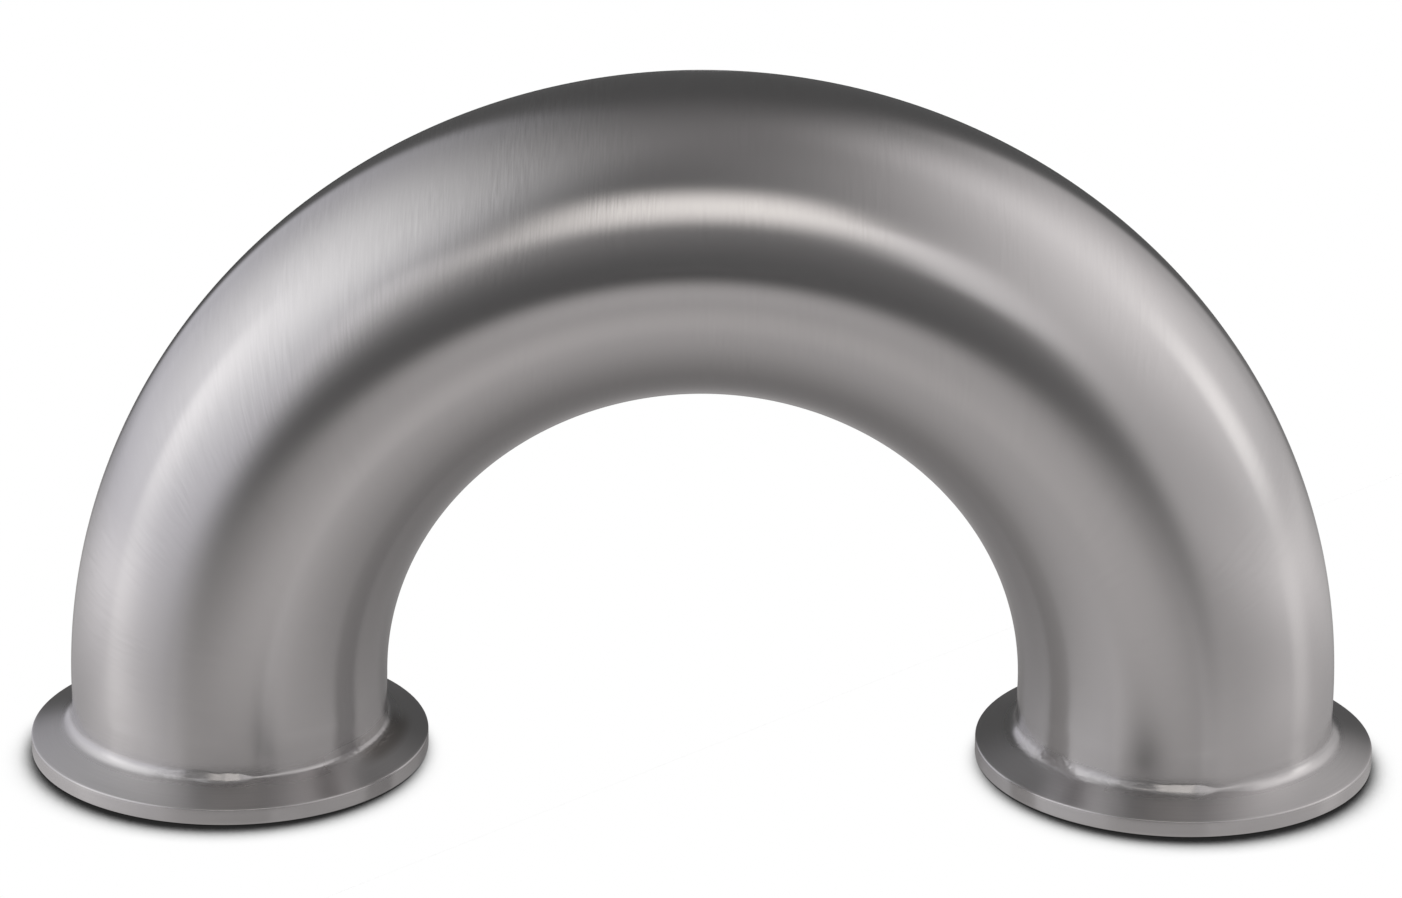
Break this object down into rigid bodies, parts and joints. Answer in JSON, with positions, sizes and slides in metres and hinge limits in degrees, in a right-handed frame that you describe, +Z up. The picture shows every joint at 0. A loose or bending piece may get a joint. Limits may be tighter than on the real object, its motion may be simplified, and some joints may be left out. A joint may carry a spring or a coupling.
{
  "type": "sanitary u-bend",
  "caption": "U-shaped sanitary tube fitting: a half-turn return bend with a turned clamp flange on the end of each leg.",
  "frame": {"origin": "midway between the two legs, on the plane of the two clamp faces that the fitting stands on", "axes": "+Z up, away from the clamp faces; X from the left leg to the right one, in the plane of the bend"},
  "size_m": [0.2164, 0.064, 0.1143],
  "materials": {
    "polished_tube": "brushed across the tube",
    "turned_ferrule": "turned and hand-polished"
  },
  "bodies": {
    "root": {"bend_tube": "polished_tube", "ferrule_left": "turned_ferrule", "ferrule_right": "turned_ferrule"}
  },
  "joints": []
}
